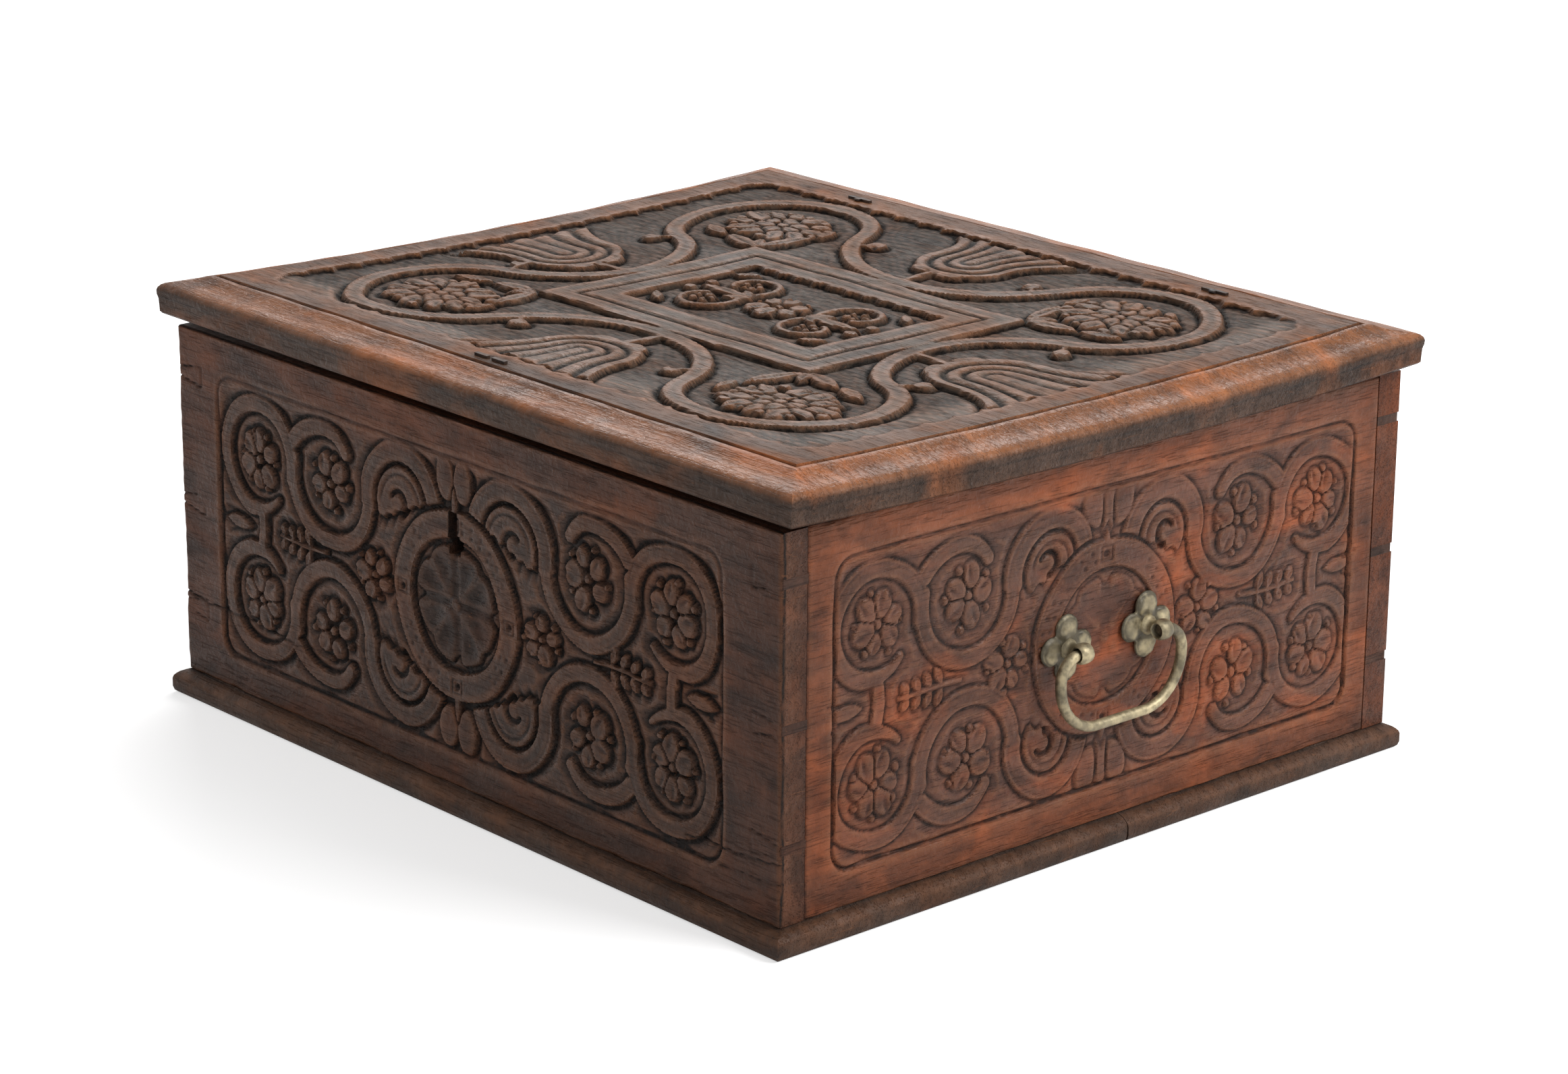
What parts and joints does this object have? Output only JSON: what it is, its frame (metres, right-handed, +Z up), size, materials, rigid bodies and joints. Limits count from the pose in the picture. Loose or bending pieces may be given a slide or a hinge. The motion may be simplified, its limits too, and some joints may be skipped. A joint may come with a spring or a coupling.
{
  "type": "carved coffer chest",
  "caption": "Small carved oak coffer with a dovetailed carcass, moulded hinged lid, inside lock and a swinging brass bail handle on each end.",
  "frame": {"origin": "centre of the footprint on the floor, under the middle of the carcass", "axes": "+X towards the right end seen from the front, -Y towards the front with the keyhole, +Z up"},
  "size_m": [0.5348, 0.4609, 0.2426],
  "materials": {
    "oak_front": "old waxed oak, very dark",
    "oak_ends": "old waxed oak, reddish brown",
    "oak_bottom": "old dark oak",
    "oak_lid": "old waxed oak, worn mouldings",
    "iron": "forged, dark",
    "brass": "dull, unpolished"
  },
  "bodies": {
    "carcass": {"front_board": "oak_front", "back_board": "oak_front", "left_board": "oak_ends", "right_board": "oak_ends", "bottom_board_front": "oak_bottom", "bottom_board_rear": "oak_bottom", "bottom_nails": "iron", "hinge_right_back_staple": "iron", "hinge_left_back_staple": "iron", "lock_plate": "iron", "lock_case": "iron", "lock_spring": "iron", "lock_nails": "iron", "handle_right_front_plate": "brass", "handle_right_rear_plate": "brass", "handle_right_front_post": "brass", "handle_right_rear_post": "brass", "handle_left_front_plate": "brass", "handle_left_rear_plate": "brass", "handle_left_front_post": "brass", "handle_left_rear_post": "brass"},
    "lid": {"lid_board": "oak_lid", "lid_lock_staple": "iron", "hinge_right_lid_cotter": "iron", "hinge_left_lid_cotter": "iron"},
    "right_handle": {"handle_right_bail": "brass"},
    "left_handle": {"handle_left_bail": "brass"},
    "lock_bolt": {"lock_bolt": "iron"}
  },
  "joints": [
    {"name": "lid_hinge", "type": "hinge", "parent": "carcass", "child": "lid", "pos_m": [0, 0.2275, 0.206], "axis": [-1, 0, 0], "range_deg": [0, 105]},
    {"name": "right_handle_swing", "type": "hinge", "parent": "carcass", "child": "right_handle", "pos_m": [0.261, 0, 0.114], "axis": [0, -1, 0], "range_deg": [-10, 188]},
    {"name": "left_handle_swing", "type": "hinge", "parent": "carcass", "child": "left_handle", "pos_m": [-0.261, 0, 0.114], "axis": [0, 1, 0], "range_deg": [-10, 188]},
    {"name": "lock_bolt_slide", "type": "slide", "parent": "carcass", "child": "lock_bolt", "axis": [1, 0, 0], "range_m": [0, 0.009]}
  ]
}
